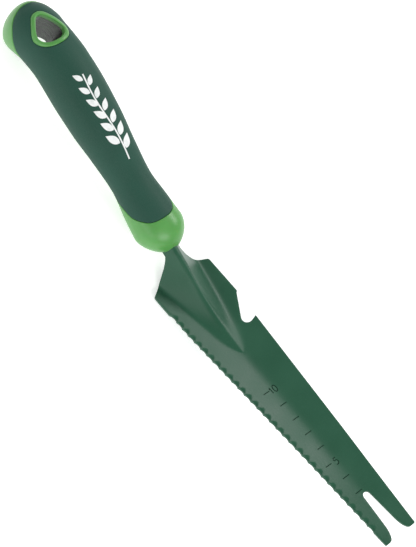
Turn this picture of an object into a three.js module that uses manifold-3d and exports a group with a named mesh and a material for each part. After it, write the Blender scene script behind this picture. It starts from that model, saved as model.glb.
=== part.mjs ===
// Multi-purpose hand trowel: a pressed steel blade with saw teeth, a twine notch and a forked tip,
// its tang moulded into a hard plastic handle core with a soft overmoulded grip and a lined hang hole.
// Millimetres, +Z up. The trowel lies as it does on a bench: hollow side up, on the blade's heel
// and the handle's butt, with its tip raised. +X points to the tip, +Y to the notched edge.
//
// Two working frames are used before that:
//   tool frame    x along the blade from the bolster, y across it, z up from the blade's fold line
//   handle frame  a back along the handle from the bolster's nose, b up, y across

import * as THREE from 'three';
import { mergeVertices } from 'three/addons/utils/BufferGeometryUtils.js';
import Module from 'manifold-3d';

const wasm = await Module();
wasm.setup();

// ---------------------------------------------------------------- driving dimensions
const GAP = 0.3; // between neighbouring pieces
const THROUGH = 90; // far enough to pass right through the tool either way

const BLADE = {
  thickness: 1.8,
  tip: 190, // bolster to tip
  tangEnd: -58,
  tangHalf: 4.2,
  neckHalf: 5,
  flare: [[1, 0], [3.2, 1], [5.2, 4.2]], // x and spread beyond the neck, as it widens to the shoulders
  shoulder: 12.5, // where the saw edge's shoulder reaches full width
  farShoulder: 11, // and the notched edge's
  half: 19.8, // half-width at the shoulders
  pinch: 0.5, // the edges behind the shoulders lie this far inside them
  taperStart: 40,
  tipHalf: 10.4,
  tipCorner: 0.8, // rounding of the prongs' outer corners
  foldRadius: 4, // how softly the two halves meet on the centre line
};

const SAW = { start: 26, pitch: 4.85, count: 32, depth: 0.65 };
const NOTCH = {
  start: 35.5,
  centre: 50.2,
  centreHalf: 14.4,
  radius: 3.2,
  fromAngle: 12, // degrees: the arc runs from the hook's tip round to the straight side
  toAngle: -122,
  hookTip: 52.4,
};
const FORK = {
  root: 162,
  rootHalf: 2.1,
  flareStart: 183,
  flareMiddle: 187,
  flareHalf: 3.6,
  tipHalf: 5.9,
};

const RIB = {
  crestHalf: 1.2,
  baseHalf: 14.2,
  baseTaper: 0.145,
  noseStart: 45,
  nose: 64.5,
  nosePoint: 0.7, // 0.5 would be an elliptical nose, 1 a parabolic one
  lean: 0.8, // the crest runs this far toward the saw edge
};
const CREST_HEIGHT = [[-60, 47], [-20, 32], [0, 23.2], [9, 18.8], [16, 15.2], [26, 10.7], [38, 6.2],
  [49.5, 3], [58, 1.4], [64.5, 0.2]]; // x, z of the rib's crest: it rises along the neck and the tang
const DISH = [[12, 0.14], [60, 0.2], [125, 0.21], [160, 0.13], [190, 0.05]]; // x, slope of each half

const HANDLE = {
  rise: 25.7, // degrees above the blade
  noseZ: 16.5, // height of the handle's axis at the bolster's nose
  noseCut: 1.1, // flat at the very front, where the neck comes out
  length: 152.4,
  buttStart: 136, // the butt's dome begins here
  noseDome: 15,
  noseSharpness: 1.7,
  roundness: 2.15,
  facets: 26,
  buttClosed: 0.965, // how far round the butt's dome the skin runs before its end is closed flat
};
const HALF_WIDTH = [[15, 14.2], [28, 13], [43, 11.4], [60, 12.55], [80, 14.5], [100, 15.2], [114, 14.9],
  [126, 14.7], [136, 15.4]]; // a, half-width
const AXIS_SAG = [[0, 2.2], [7, 1.8], [15, 0.6], [28, 0], [60, 0.4], [100, 0.4], [114, -0.3],
  [126, -4.1], [136, -9.9], [143, -12.3], [148, -11.7], [152.4, -8]]; // a, b of the section's middle
const HEIGHT_RATIO = [[0, 0.93], [43, 0.95], [100, 0.98], [114, 1.02], [126, 1.13], [136, 1.17],
  [143, 1.24], [152.4, 1.27]]; // a, height of the section over its width

const GRIP_THICKNESS = 2.2;
const PARTING = [[17.9, 18], [18.3, 13.6], [22, 9], [27, 4.2], [33, 0.4], [38, -4], [46, -8.2], [60, -10.2],
  [80, -11.6], [100, -12.2], [115, -12.8], [124, -12.2], [131, -9.8], [136, -6.6], [141, -4.4],
  [146, -3.2], [149.5, -1.8], [152, 0.6]]; // a, b of the lower edge of the soft grip, from the side

const HANG = {
  apex: 141.6,
  base: 126,
  baseHalf: 1.5, // half the straight stretch of the base
  corner: 130.5,
  cornerReach: 3.5, // how far the curve runs on from a corner towards the apex
  half: 7.6,
  apexRadius: 3.2,
  apexTurn: 55, // degrees of the apex arc to each side
  rim: 2.4,
  proud: 0.6,
};
const SLEEVE = { wall: 0.8, depth: 4, inset: 0.5 }; // lines the hang hole from `depth` below its lip

const DEGREE = Math.PI / 180;

// ---------------------------------------------------------------- helpers
// Monotone cubic through [x, y] pairs: no overshoot between them.
function curve(points) {
  const n = points.length;
  const x = points.map((p) => p[0]);
  const y = points.map((p) => p[1]);
  const slope = [];
  for (let i = 0; i < n - 1; i++) slope.push((y[i + 1] - y[i]) / (x[i + 1] - x[i]));
  const tangent = [slope[0]];
  for (let i = 1; i < n - 1; i++) {
    const turns = slope[i - 1] * slope[i] <= 0;
    tangent.push(turns ? 0 : 2 / (1 / slope[i - 1] + 1 / slope[i]));
  }
  tangent.push(slope[n - 2]);
  return (value) => {
    if (value <= x[0]) return y[0];
    if (value >= x[n - 1]) return y[n - 1];
    let i = 0;
    while (value > x[i + 1]) i++;
    const h = x[i + 1] - x[i];
    const t = (value - x[i]) / h;
    const s = 1 - t;
    return y[i] * s * s * (1 + 2 * t) + y[i + 1] * t * t * (3 - 2 * t)
      + h * t * s * (tangent[i] * s - tangent[i + 1] * t);
  };
}

function spread(from, to, count) {
  return Array.from({ length: count + 1 }, (_, i) => from + ((to - from) * i) / count);
}

function solid(geometry) {
  const bare = geometry.clone();
  bare.deleteAttribute('normal');
  bare.deleteAttribute('uv');
  const merged = mergeVertices(bare, 1e-4);
  return new wasm.Manifold(new wasm.Mesh({
    numProp: 3,
    vertProperties: new Float32Array(merged.attributes.position.array),
    triVerts: new Uint32Array(merged.index.array),
  }));
}

function mesh(name, manifold, color, roughness, metalness) {
  const data = manifold.getMesh();
  const geometry = new THREE.BufferGeometry();
  geometry.setAttribute('position', new THREE.BufferAttribute(data.vertProperties, 3));
  geometry.setIndex(new THREE.BufferAttribute(data.triVerts, 1));
  geometry.computeVertexNormals();
  const piece = new THREE.Mesh(geometry, new THREE.MeshStandardMaterial({ color, roughness, metalness }));
  piece.name = name;
  return piece;
}

// A closed skin over rings of points, with a fan over each end.
function loft(rings) {
  const around = rings[0].length;
  const points = rings.flat();
  const index = [];
  for (let i = 0; i < rings.length - 1; i++) {
    for (let j = 0; j < around; j++) {
      const a = i * around + j;
      const b = i * around + ((j + 1) % around);
      index.push(a, b, a + around, b, b + around, a + around);
    }
  }
  for (const [ring, flip] of [[0, true], [rings.length - 1, false]]) {
    const middle = new THREE.Vector3();
    rings[ring].forEach((p) => middle.add(p));
    points.push(middle.divideScalar(around));
    for (let j = 0; j < around; j++) {
      const a = ring * around + j;
      const b = ring * around + ((j + 1) % around);
      index.push(points.length - 1, flip ? b : a, flip ? a : b);
    }
  }
  const geometry = new THREE.BufferGeometry().setFromPoints(points);
  geometry.setIndex(index);
  return geometry;
}

// ---------------------------------------------------------------- blade
const crestHeight = curve(CREST_HEIGHT);
const dishSlope = curve(DISH);

function ribBase(x) {
  if (x < RIB.noseStart) return RIB.baseHalf - RIB.baseTaper * x;
  const run = Math.min(1, (x - RIB.noseStart) / (RIB.nose - RIB.noseStart));
  return (RIB.baseHalf - RIB.baseTaper * RIB.noseStart) * (1 - run * run) ** RIB.nosePoint;
}

// How far the crest's lean has moved a point, from all of it on the crest to none at the foot.
function leaning(y, base) {
  return RIB.lean * Math.max(0, 1 - Math.abs(y) / Math.max(base, 0.1));
}

function bladeHeight(x, y) {
  const fold = BLADE.foldRadius;
  const dish = dishSlope(x) * (Math.hypot(y, fold) - fold);
  if (x >= RIB.nose) return dish;
  const base = ribBase(x);
  const crest = Math.min(RIB.crestHalf, base / 2);
  const across = y + leaning(y, base);
  const rise = THREE.MathUtils.clamp((base - Math.abs(across)) / Math.max(base - crest, 0.01), 0, 1);
  return dish * (1 - rise) + crestHeight(x) * rise;
}

function bladeNormal(x, y) {
  const d = 0.5;
  const dx = (bladeHeight(x + d, y) - bladeHeight(x - d, y)) / (2 * d);
  const dy = (bladeHeight(x, y + d) - bladeHeight(x, y - d)) / (2 * d);
  return new THREE.Vector3(-dx, -dy, 1).normalize();
}

// Across the sheet, columns follow the rib's crest and foot so that its creases stay crisp.
function bladeColumns(x) {
  const base = Math.max(ribBase(Math.min(x, RIB.nose)), BLADE.tangHalf + 1);
  const reach = BLADE.half + 3;
  const side = [RIB.crestHalf, (RIB.crestHalf + base) / 2, base, base + 1.2, (base + reach) / 2, reach];
  return [...side.map((y) => -y).reverse(), 0, ...side].map((y) => y - leaning(y, base));
}

function sheet(from, to, steps, thickness) {
  const rows = spread(from, to, steps);
  const faces = [1, -1].map((side) => rows.map((x) => bladeColumns(x).map((y) => {
    const n = bladeNormal(x, y).multiplyScalar((side * thickness) / 2);
    return new THREE.Vector3(x, y, bladeHeight(x, y)).add(n);
  })));
  const columns = faces[0][0].length;
  const points = faces.flat(2);
  const at = (face, i, j) => (face * rows.length + i) * columns + j;
  const index = [];
  const quad = (a, b, c, d) => index.push(a, b, c, a, c, d);
  for (let i = 0; i < rows.length - 1; i++) {
    for (let j = 0; j < columns - 1; j++) {
      quad(at(0, i, j), at(0, i + 1, j), at(0, i + 1, j + 1), at(0, i, j + 1));
      quad(at(1, i, j), at(1, i, j + 1), at(1, i + 1, j + 1), at(1, i + 1, j));
    }
    quad(at(0, i, 0), at(1, i, 0), at(1, i + 1, 0), at(0, i + 1, 0));
    const j = columns - 1;
    quad(at(0, i, j), at(0, i + 1, j), at(1, i + 1, j), at(1, i, j));
  }
  const last = rows.length - 1;
  for (let j = 0; j < columns - 1; j++) {
    quad(at(0, 0, j), at(0, 0, j + 1), at(1, 0, j + 1), at(1, 0, j));
    quad(at(0, last, j), at(1, last, j), at(1, last, j + 1), at(0, last, j + 1));
  }
  const geometry = new THREE.BufferGeometry().setFromPoints(points);
  geometry.setIndex(index);
  return geometry;
}

function edgeHalf(x) {
  const run = THREE.MathUtils.clamp((x - BLADE.taperStart) / (BLADE.tip - BLADE.taperStart), 0, 1);
  const widest = BLADE.half - BLADE.pinch;
  return widest + (BLADE.tipHalf - widest) * run;
}

function bladeOutline() {
  const s = new THREE.Shape();
  const [neck, bend, flare] = BLADE.flare.map(([x, out]) => [x, BLADE.neckHalf + out]);
  const corner = BLADE.tipCorner;
  s.moveTo(BLADE.tangEnd, -BLADE.tangHalf);
  s.lineTo(neck[0], -neck[1]);
  s.quadraticCurveTo(bend[0], -bend[1], flare[0], -flare[1]);
  s.lineTo(BLADE.shoulder, -BLADE.half);
  s.lineTo(SAW.start, -BLADE.half);
  const teeth = spread(SAW.start, SAW.start + SAW.pitch * SAW.count, SAW.count);
  for (let i = 0; i < SAW.count; i++) {
    const middle = (teeth[i] + teeth[i + 1]) / 2;
    s.quadraticCurveTo(middle, -edgeHalf(middle) + 2 * SAW.depth, teeth[i + 1], -edgeHalf(teeth[i + 1]));
  }
  s.lineTo(BLADE.tip - corner, -BLADE.tipHalf);
  s.quadraticCurveTo(BLADE.tip, -BLADE.tipHalf, BLADE.tip, -BLADE.tipHalf + corner);
  s.lineTo(BLADE.tip, -FORK.tipHalf);
  s.quadraticCurveTo(FORK.flareMiddle, -FORK.flareHalf - 1, FORK.flareStart, -FORK.flareHalf);
  s.lineTo(FORK.root + FORK.rootHalf, -FORK.rootHalf);
  s.absarc(FORK.root + FORK.rootHalf, 0, FORK.rootHalf, -Math.PI / 2, Math.PI / 2, true);
  s.lineTo(FORK.flareStart, FORK.flareHalf);
  s.quadraticCurveTo(FORK.flareMiddle, FORK.flareHalf + 1, BLADE.tip, FORK.tipHalf);
  s.lineTo(BLADE.tip, BLADE.tipHalf - corner);
  s.quadraticCurveTo(BLADE.tip, BLADE.tipHalf, BLADE.tip - corner, BLADE.tipHalf);
  s.lineTo(NOTCH.hookTip, edgeHalf(NOTCH.hookTip));
  const [from, to] = [NOTCH.fromAngle * DEGREE, NOTCH.toAngle * DEGREE];
  s.absarc(NOTCH.centre, NOTCH.centreHalf, NOTCH.radius, from, to, true);
  s.lineTo(NOTCH.start, BLADE.half);
  s.lineTo(BLADE.farShoulder, BLADE.half);
  s.lineTo(...flare);
  s.quadraticCurveTo(...bend, ...neck);
  s.lineTo(BLADE.tangEnd, BLADE.tangHalf);
  return s;
}

function prism(shape, low, high, curveSegments) {
  const depth = high - low;
  const geometry = new THREE.ExtrudeGeometry(shape, { depth, bevelEnabled: false, curveSegments });
  return geometry.translate(0, 0, low);
}

function makeBlade() {
  const pressed = solid(sheet(BLADE.tangEnd - 2, BLADE.tip + 2, 50, BLADE.thickness));
  return pressed.intersect(solid(prism(bladeOutline(), -THROUGH, THROUGH, 3)));
}

// ---------------------------------------------------------------- handle
const halfWidth = curve(HALF_WIDTH);
const axisSag = curve(AXIS_SAG);
const heightRatio = curve(HEIGHT_RATIO);

function handleHalf(a) {
  if (a < HANDLE.noseDome) {
    const run = (HANDLE.noseDome - a) / HANDLE.noseDome;
    return HALF_WIDTH[0][1] * (1 - run ** HANDLE.noseSharpness) ** (1 / HANDLE.noseSharpness);
  }
  if (a <= HANDLE.buttStart) return halfWidth(a);
  const run = (a - HANDLE.buttStart) / (HANDLE.length - HANDLE.buttStart);
  return halfWidth(HANDLE.buttStart) * Math.sqrt(Math.max(0, 1 - run * run));
}

// The handle's outer form, or one that lies `inset` inside it.
function handleForm(inset) {
  const dome = spread(0, 1, 7).map((t) => 1 - Math.cos((t * Math.PI) / 2));
  const front = dome.map((t) => HANDLE.noseCut + inset + t * (HANDLE.noseDome - HANDLE.noseCut - inset));
  const middle = spread(HANDLE.noseDome, HANDLE.buttStart, 17).slice(1, -1);
  const back = spread(0, 1, 7).map((t) => Math.sin((t * Math.PI * HANDLE.buttClosed) / 2))
    .map((t) => HANDLE.buttStart + t * (HANDLE.length - inset - HANDLE.buttStart));
  const rings = [...front, ...middle, ...back].map((a) => {
    const grown = a > HANDLE.buttStart ? (a - HANDLE.buttStart) * (HANDLE.length - HANDLE.buttStart)
      / (HANDLE.length - inset - HANDLE.buttStart) + HANDLE.buttStart : a;
    const w = Math.max(handleHalf(grown) - inset, 0.3);
    const h = w * heightRatio(a);
    return spread(0, 2 * Math.PI, HANDLE.facets).slice(0, -1).map((angle) => {
      const up = Math.cos(angle);
      const across = Math.sin(angle);
      const power = 2 / HANDLE.roundness;
      const b = axisSag(grown) + h * Math.sign(up) * Math.abs(up) ** power;
      return new THREE.Vector3(a, b, w * Math.sign(across) * Math.abs(across) ** power);
    });
  });
  return loft(rings);
}

// Everything above the grip's lower edge, as a slab right across the handle.
function gripRegion(drop) {
  const parting = curve(PARTING.slice(1));
  const s = new THREE.Shape();
  s.moveTo(PARTING[0][0] - drop, PARTING[0][1] + 12);
  s.lineTo(PARTING[0][0] - drop, PARTING[0][1]);
  const from = PARTING[1][0];
  const to = PARTING[PARTING.length - 1][0];
  for (const a of spread(from, to, 26)) s.lineTo(a - drop, parting(a) - drop);
  s.lineTo(to + 10, PARTING[PARTING.length - 1][1] - drop);
  s.lineTo(to + 10, PARTING[0][1] + 12);
  return prism(s, -THROUGH, THROUGH, 3);
}

// The hang hole's rounded triangle, its point towards the butt, grown outwards by `grow`.
function hangShape(grow) {
  const s = new THREE.Shape();
  const r = HANG.apexRadius + grow;
  const apex = HANG.apex - HANG.apexRadius;
  const turn = HANG.apexTurn * DEGREE;
  const half = HANG.half + grow;
  const base = HANG.base - grow;
  const bend = HANG.corner + HANG.cornerReach;
  s.absarc(apex, 0, r, -turn, turn, false);
  s.quadraticCurveTo(bend, half, HANG.corner, half);
  s.quadraticCurveTo(base + 0.4, half - 0.6, base, HANG.baseHalf);
  s.lineTo(base, -HANG.baseHalf);
  s.quadraticCurveTo(base + 0.4, 0.6 - half, HANG.corner, -half);
  s.quadraticCurveTo(bend, -half, apex + r * Math.cos(turn), -r * Math.sin(turn));
  return s;
}

function hangPrism(grow, low, high) {
  return prism(hangShape(grow), low, high, 5).rotateX(Math.PI / 2);
}

const handleToTool = new THREE.Matrix4().makeBasis(
  new THREE.Vector3(-Math.cos(HANDLE.rise * DEGREE), 0, Math.sin(HANDLE.rise * DEGREE)),
  new THREE.Vector3(Math.sin(HANDLE.rise * DEGREE), 0, Math.cos(HANDLE.rise * DEGREE)),
  new THREE.Vector3(0, 1, 0),
).setPosition(0, 0, HANDLE.noseZ);

const inTool = (geometry) => solid(geometry.applyMatrix4(handleToTool));

function makeGrip() {
  const skin = inTool(handleForm(0)).subtract(inTool(handleForm(GRIP_THICKNESS)));
  return skin.intersect(inTool(gripRegion(0)))
    .subtract(inTool(hangPrism(HANG.rim + GAP, -THROUGH, THROUGH)));
}

// The handle's form moved down from its upper face, where the sleeve is seated in the hang hole.
function belowLip(depth) {
  return inTool(handleForm(0).translate(0, -depth, 0));
}

function makeSleeve() {
  const tube = inTool(hangPrism(SLEEVE.wall, -THROUGH, THROUGH));
  return tube.subtract(inTool(hangPrism(0, -THROUGH, THROUGH)))
    .intersect(belowLip(SLEEVE.depth + GAP)).intersect(inTool(handleForm(SLEEVE.inset)));
}

function makeCore() {
  const outer = inTool(handleForm(0));
  const underGrip = inTool(handleForm(GRIP_THICKNESS + GAP));
  const bed = inTool(handleForm(-1)).subtract(underGrip).intersect(inTool(gripRegion(GAP)));
  const rim = inTool(handleForm(-HANG.proud)).intersect(inTool(hangPrism(HANG.rim, 0, THROUGH)));
  const seat = inTool(hangPrism(SLEEVE.wall + GAP, -THROUGH, THROUGH));
  const [deep, mouth] = [BLADE.tangEnd - GAP, BLADE.shoulder]; // the tang's slot, right out of the nose
  const tang = solid(sheet(deep, mouth, 20, BLADE.thickness + 2 * GAP));
  const tangOutline = new THREE.Shape([
    new THREE.Vector2(deep, -BLADE.tangHalf - GAP),
    new THREE.Vector2(mouth, -BLADE.neckHalf - 2 * GAP),
    new THREE.Vector2(mouth, BLADE.neckHalf + 2 * GAP),
    new THREE.Vector2(deep, BLADE.tangHalf + GAP),
  ]);
  return outer.subtract(bed).add(rim)
    .subtract(inTool(hangPrism(0, -THROUGH, THROUGH)))
    .subtract(seat.intersect(belowLip(SLEEVE.depth)))
    .subtract(tang.intersect(solid(prism(tangOutline, -THROUGH, THROUGH, 1))));
}

// ---------------------------------------------------------------- assembly
const tool = new THREE.Group();
tool.add(mesh('blade', makeBlade(), 0x3d6653, 0.5, 0.2));
tool.add(mesh('handle_core', makeCore(), 0x66a85a, 0.4, 0));
tool.add(mesh('soft_grip', makeGrip(), 0x335246, 0.7, 0));
tool.add(mesh('hang_sleeve', makeSleeve(), 0x6b6e6c, 0.4, 0.6));

// Lowest point of the tool in front of or behind the bolster when its tip is raised by `pitch`.
function lowest(pitch, ahead) {
  let low = Infinity;
  for (const piece of tool.children) {
    const place = piece.geometry.attributes.position;
    for (let i = 0; i < place.count; i++) {
      const height = place.getZ(i) * Math.cos(pitch) + place.getX(i) * Math.sin(pitch);
      if (place.getX(i) > 0 === ahead) low = Math.min(low, height);
    }
  }
  return low;
}

// On a bench the tool tips back until heel and butt both touch.
function restPitch() {
  let [level, steep] = [0, 40 * DEGREE];
  for (let i = 0; i < 40; i++) {
    const pitch = (level + steep) / 2;
    if (lowest(pitch, true) < lowest(pitch, false)) level = pitch;
    else steep = pitch;
  }
  return level;
}

tool.rotation.y = -restPitch();

// The origin is under the middle of the whole tool, on the bench.
const trowel = new THREE.Group();
trowel.add(tool);
trowel.updateMatrixWorld(true);
const extent = new THREE.Box3().setFromObject(trowel, true);
const middle = extent.getCenter(new THREE.Vector3());
tool.position.set(-middle.x, -middle.y, -extent.min.z);

export default trowel;
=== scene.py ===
import math

import bmesh
import bpy
from mathutils import Matrix, Vector
from mathutils.geometry import delaunay_2d_cdt


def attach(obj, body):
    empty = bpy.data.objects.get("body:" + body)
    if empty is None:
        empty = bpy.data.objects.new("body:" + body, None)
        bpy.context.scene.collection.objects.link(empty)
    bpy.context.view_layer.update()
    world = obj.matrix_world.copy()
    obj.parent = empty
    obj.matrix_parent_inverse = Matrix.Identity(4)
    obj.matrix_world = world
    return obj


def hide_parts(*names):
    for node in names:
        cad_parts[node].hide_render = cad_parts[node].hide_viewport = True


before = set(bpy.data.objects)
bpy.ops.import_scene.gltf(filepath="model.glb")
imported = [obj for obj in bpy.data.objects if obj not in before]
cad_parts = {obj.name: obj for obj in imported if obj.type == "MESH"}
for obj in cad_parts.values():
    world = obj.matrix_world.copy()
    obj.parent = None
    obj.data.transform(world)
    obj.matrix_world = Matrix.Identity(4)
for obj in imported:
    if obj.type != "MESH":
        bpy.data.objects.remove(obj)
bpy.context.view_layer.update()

# Millimetres until a piece is made. Two working frames, as in the CAD:
#   tool frame    x along the blade from the bolster, y across it, z up from the blade's fold line
#   handle frame  a back along the handle from the bolster's nose, b up, y across

# ---------------------------------------------------------------- placing and camera
MM = 0.001
REST_PITCH = math.radians(18.7071)  # the blade's rise from heel to tip as it lies
TOOL_ORIGIN = (-11.2786, 0.0, -2.8437)
TOOL_TO_PART = (
    Matrix.Scale(MM, 4) @ Matrix.Translation(TOOL_ORIGIN) @ Matrix.Rotation(-REST_PITCH, 4, "Y")
)

TIP_TOWARD_CAMERA = math.radians(15.911)
BLADE_HEADING = math.radians(48.93)  # down and to the right across the picture
SAW_SIDE_TURN = math.radians(25.0)
BLADE_START_IN_VIEW = Vector((-21.95, -4.65, 800.0))  # right, down, away from the camera
SENSOR_WIDTH = 36.0
LENS = 126.96
LIGHT_TARGET = Vector((0, 0, 0.02))  # metres, as are the lights and the floor
FLOOR_REACH = 12.0

# ---------------------------------------------------------------- blade dimensions
THICKNESS = 1.8
TIP = 190.0
TANG_END = -58.0
TANG_HALF = 4.2
NECK_HALF = 5.0
SHOULDER = 12.5
BLADE_HALF = 19.8
TAPER_START = 40.0
TIP_HALF = 10.4
FOLD_RADIUS = 4.0
SAW_START = 26.0
SAW_PITCH = 4.85
SAW_COUNT = 32
SAW_DEPTH = 0.65
NOTCH_START = 35.5
NOTCH_CENTRE = (50.2, 14.4)
NOTCH_RADIUS = 3.2
HOOK_TIP = 52.4
FORK_ROOT = 162.0
FORK_ROOT_HALF = 2.1
FORK_FLARE_START = 183.0
FORK_FLARE_HALF = 3.6
FORK_TIP_HALF = 5.9
CREST_HALF = [(-60, 1.2), (2, 1.2), (12, 1.2), (22, 0.7), (46, 0.4), (64.5, 0.3)]  # x, half-width
RIB_BASE_HALF = 14.2
RIB_BASE_TAPER = 0.145
RIB_NOSE_START = 45.0
RIB_NOSE = 64.5
RIB_NOSE_POINT = 0.7
SAW_SIDE_FOOT = (2.0, 2)  # the round at the foot of the rib: inner reach and how long it tails out
NOTCH_SIDE_FOOT = (2.0, 3)
FOOT_LIMIT = 0.28  # the most of a flank's width that the round at its foot may take
FLANK_HOLLOW = 0.04
CREST_ROUND = 0.8
CREST_BLUNT = 0.7  # the crest grows this much rounder past the shoulders
BLUNT_START = 12
BLUNT_RUN = 14
CREST_LIMIT = 0.45  # the most of a flank's width that the round at the crest may take
BAND_START = 3.0  # clear of the bolster
BAND_RISE = 2
BAND_END = 30
BAND_FADE = 16
BAND_HEIGHT = 0.4  # the flat band along the crest stands this proud of the flanks
BAND_WALL = 0.5
BAND_ROUND = 0.2
CREST_HEIGHT = [(-60, 47), (-20, 32), (0, 23.2), (9, 18.8), (16, 15.2), (26, 10.7), (38, 6.2),
                (49.5, 3.0), (58, 1.4), (64.5, 0.2)]  # x, z of the crest
CREST_LEAN = 0.8  # the crest runs this far toward the saw edge
DISH = [(12, 0.165), (60, 0.2), (125, 0.21), (160, 0.13), (190, 0.05)]  # x, slope of each half
RIM = [(0.3, 0.0), (0.15, 0.04), (0.04, 0.15), (0.0, 0.3)]  # inset and drop round the sheet's edge
FLUTE_DEPTH = 0.8
FLUTE_REACH = 2.5
FLUTE_ROUND = 1.05  # how much shallower a flute is where two teeth meet
STAMP_DEPTH = 0.32
STAMP_WALL = 0.12
TICK_WIDTH = 0.5
DIGIT_WIDTH = 0.56
TEN_AT = 90  # x of the mark 100 mm from the tip
TICK_PITCH = 10
TICK_COUNT = 8
LONG_TICK = (-8.1, -3.9)
SHORT_TICK = (-4.8, -0.1)

# ---------------------------------------------------------------- handle dimensions
HANDLE_RISE = math.radians(25.7)
NOSE_Z = 16.5
NOSE_CUT = 0.4
NOSE_DOME = 15.0
NOSE_SHARPNESS = 1.7
HANDLE_LENGTH = 152.4
BUTT_START = 136.0
ROUNDNESS = 2.15
HALF_WIDTH = [(15, 14.2), (28, 13), (43, 11.4), (60, 12.55), (80, 14.5), (100, 15.2), (114, 14.9),
              (126, 14.7), (136, 15.4)]  # a, half-width
AXIS_SAG = [(0, 2.2), (7, 1.8), (15, 0.6), (28, 0), (60, 0.4), (100, 0.4), (114, -0.3), (126, -4.1),
            (136, -9.9), (143, -12.3), (148, -11.7), (152.4, -8)]  # a, b of the section's middle
HEIGHT_RATIO = [(0, 0.93), (43, 0.95), (100, 0.98), (114, 1.02), (126, 1.13), (136, 1.17), (143, 1.24),
                (152.4, 1.27)]  # a, height of the section over its width
PARTING = [(17.9, 18), (18.3, 13.6), (22, 9), (27, 4.2), (33, 0.4), (38, -4), (46, -8.2), (60, -10.2),
           (80, -11.6), (100, -12.2), (115, -12.8), (124, -12.2), (131, -9.8), (136, -6.6), (141, -4.4),
           (146, -3.2), (149.5, -1.8), (152, 0.6)]  # a, b of the soft grip's lower edge
GRIP_THICKNESS = 2.2
BED_DEPTH = 2.45
HANG_APEX = 141.6
HANG_BASE = 126.0
HANG_CORNER = 130.5
HANG_HALF = 7.6
HANG_APEX_RADIUS = 3.2
HANG_APEX_TURN = 55  # degrees of the apex arc to each side
HANG_CORNER_REACH = 3.5  # how far the curve runs on from a corner towards the apex
HANG_BASE_HALF = 1.5  # half the straight stretch of the base
LIP_WIDTH = 2.4
LIP_DEPTH = 4.0
SLEEVE_WALL = 0.8
AROUND = 14.0  # millimetres of flat pattern to one radian round the handle
BUTT_SWEEP = 1.516  # radians of the butt's dome that the skin covers before it closes flat
EDGE_STEP = 1.1
SHELL_LEAD = 16  # points along the flat pattern's cut from the nose up to the grip's front


# ---------------------------------------------------------------- curves and outlines
def curve(points):
    """Monotone cubic through the pairs: no overshoot between them."""
    xs = [p[0] for p in points]
    ys = [p[1] for p in points]
    slopes = [(y1 - y0) / (x1 - x0) for (x0, y0), (x1, y1) in zip(points, points[1:])]
    tangents = [slopes[0]]
    for before, after in zip(slopes, slopes[1:]):
        tangents.append(0 if before * after <= 0 else 2 / (1 / before + 1 / after))
    tangents.append(slopes[-1])

    def value(x):
        if x <= xs[0]:
            return ys[0]
        if x >= xs[-1]:
            return ys[-1]
        i = 0
        while x > xs[i + 1]:
            i += 1
        h = xs[i + 1] - xs[i]
        t = (x - xs[i]) / h
        s = 1 - t
        ends = ys[i] * s * s * (1 + 2 * t) + ys[i + 1] * t * t * (3 - 2 * t)
        return ends + h * t * s * (tangents[i] * s - tangents[i + 1] * t)

    return value


def clamp(value, low=0.0, high=1.0):
    return max(low, min(high, value))


def ease(t):
    t = clamp(t)
    return t * t * (3 - 2 * t)


def spread(start, end, count):
    return [start + (end - start) * i / count for i in range(count + 1)]


def bezier(start, control, end, count):
    """Points after the start of a quadratic curve."""
    points = []
    for t in spread(0, 1, count)[1:]:
        s = 1 - t
        points.append(tuple(s * s * p + 2 * s * t * c + t * t * e for p, c, e in zip(start, control, end)))
    return points


def arc(centre, radius, start, end, count):
    angles = [math.radians(v) for v in spread(start, end, count)]
    return [(centre[0] + radius * math.cos(v), centre[1] + radius * math.sin(v)) for v in angles]


def dense(line, step, closed=True):
    """The same line with points added so that none are further apart than step."""
    ends = line[1:] + line[:1] if closed else line[1:]
    points = []
    for p, q in zip(line, ends):
        count = max(1, math.ceil(math.dist(p, q) / step))
        for i in range(count):
            points.append(tuple(v + (w - v) * i / count for v, w in zip(p, q)))
    return points if closed else points + [line[-1]]


def shifted(line, distance, closed=True):
    """The line moved to its left by distance, mitred at its corners."""
    points = []
    for i, p in enumerate(line):
        here = Vector(p)
        before = Vector(line[i - 1]) if closed or i else here
        after = Vector(line[(i + 1) % len(line)]) if closed or i < len(line) - 1 else here
        first = (here - before).normalized() if before != here else (after - here).normalized()
        second = (after - here).normalized() if after != here else first
        normal = Vector((-(first.y + second.y), first.x + second.x)).normalized()
        reach = distance / max(0.5, normal.dot(Vector((-first.y, first.x))))
        points.append((p[0] + normal.x * reach, p[1] + normal.y * reach))
    return points


def inside(loop, x, y):
    result = False
    for (x0, y0), (x1, y1) in zip(loop, loop[1:] + loop[:1]):
        if (y0 > y) != (y1 > y) and x < x0 + (x1 - x0) * (y - y0) / (y1 - y0):
            result = not result
    return result


# ---------------------------------------------------------------- meshes
class Skin:
    """Points and faces of one piece, gathered patch by patch."""

    def __init__(self):
        self.points = []
        self.faces = []

    def add(self, points):
        start = len(self.points)
        self.points += points
        return list(range(start, len(self.points)))

    def bridge(self, ring, other):
        for i in range(len(ring)):
            j = (i + 1) % len(ring)
            self.faces.append((ring[i], ring[j], other[j], other[i]))

    def fan(self, ring):
        middle = sum((self.points[i] for i in ring), Vector()) / len(ring)
        tip = self.add([middle])[0]
        for i in range(len(ring)):
            self.faces.append((ring[i], ring[(i + 1) % len(ring)], tip))


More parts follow.
